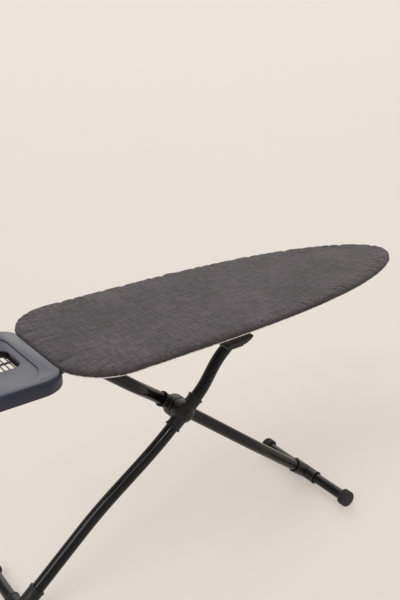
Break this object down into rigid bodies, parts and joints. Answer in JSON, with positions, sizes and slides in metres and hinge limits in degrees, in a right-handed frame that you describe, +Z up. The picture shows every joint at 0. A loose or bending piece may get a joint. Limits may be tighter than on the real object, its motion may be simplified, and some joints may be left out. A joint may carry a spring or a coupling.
{
  "type": "ironing board",
  "caption": "Folding ironing board: padded charcoal deck, crossed black tube legs on cross feet, sliding leg with height latch, and a moulded iron tray with a grid window at the square end.",
  "frame": {"origin": "on the floor, under the middle of the whole length and on the centre plane", "axes": "+X along the board towards its rounded nose, the iron tray at -X, +Y across the board, +Z up"},
  "size_m": [1.592, 0.45, 0.776],
  "materials": {
    "cotton_cover": "charcoal melange woven cotton, padded",
    "felt": "off-white needled felt",
    "pale_frame": "pale grey powder coat",
    "zinc_steel": "bright zinc plated steel",
    "gloss_black_steel": "gloss black enamel",
    "tray_plastic": "blue-grey moulded plastic, soft sheen",
    "black_plastic": "soft black moulded plastic",
    "nylon": "natural nylon",
    "foot_rubber": "matt black rubber"
  },
  "bodies": {
    "deck": {"cover": "cotton_cover", "underlay": "felt", "deck_mesh": "pale_frame", "deck_rim": "pale_frame", "tail_brace": "zinc_steel", "mid_brace": "zinc_steel", "nose_brace": "zinc_steel", "slide_rail": "gloss_black_steel", "rail_screws": "zinc_steel", "pivot_bracket": "gloss_black_steel", "pivot_pin": "zinc_steel", "tray_shell": "tray_plastic", "window_trim": "black_plastic", "iron_grid": "black_plastic", "near_carrier_tube": "gloss_black_steel", "far_carrier_tube": "gloss_black_steel", "carrier_clamps": "black_plastic", "carrier_plugs": "black_plastic", "underside_screws": "zinc_steel", "lever_spring": "zinc_steel", "shaft_clips": "nylon"},
    "lever": {"release_lever": "black_plastic", "lever_shaft": "zinc_steel", "latch_pawl": "zinc_steel"},
    "fixed_leg": {"fixed_leg_tube": "gloss_black_steel", "fixed_leg_eye": "black_plastic", "fixed_hub_shell": "black_plastic", "hub_bolt": "zinc_steel", "hub_washer": "nylon", "hub_nut": "zinc_steel", "fixed_leg_tee": "black_plastic", "fixed_foot_tube": "gloss_black_steel", "fixed_foot_caps": "foot_rubber", "fixed_leg_screws": "zinc_steel"},
    "sliding_leg": {"sliding_leg_tube": "gloss_black_steel", "sliding_leg_fork": "black_plastic", "sliding_hub_shell": "black_plastic", "hub_cap": "black_plastic", "sliding_leg_tee": "black_plastic", "sliding_foot_tube": "gloss_black_steel", "sliding_foot_caps": "foot_rubber", "sliding_leg_screws": "zinc_steel"},
    "carriage": {"carriage": "nylon", "carriage_pin": "zinc_steel", "height_bar": "zinc_steel", "bar_rivets": "zinc_steel"}
  },
  "joints": [
    {"name": "leg_fold", "type": "hinge", "parent": "deck", "child": "fixed_leg", "pos_m": [-0.334, 0, 0.7196], "axis": [0, -1, 0], "range_deg": [-17.4, 32.5]},
    {"name": "leg_cross", "type": "hinge", "parent": "fixed_leg", "child": "sliding_leg", "pos_m": [-0.01948, 0, 0.4594], "axis": [0, -1, 0], "range_deg": [-66, 36]},
    {"name": "carriage_tilt", "type": "hinge", "parent": "sliding_leg", "child": "carriage", "pos_m": [0.29505, 0, 0.7196], "axis": [0, -1, 0], "range_deg": [-18, 33]},
    {"name": "lever_squeeze", "type": "hinge", "parent": "deck", "child": "lever", "pos_m": [-0.01, 0, 0.7322], "axis": [0, -1, 0], "range_deg": [0, 6], "stiffness_Nm_per_rad": 6, "springref_deg": -5.73}
  ],
  "couplings": [
    {"joint": "leg_cross", "follows": "leg_fold", "ratio": -2},
    {"joint": "carriage_tilt", "follows": "leg_fold", "ratio": 1}
  ]
}
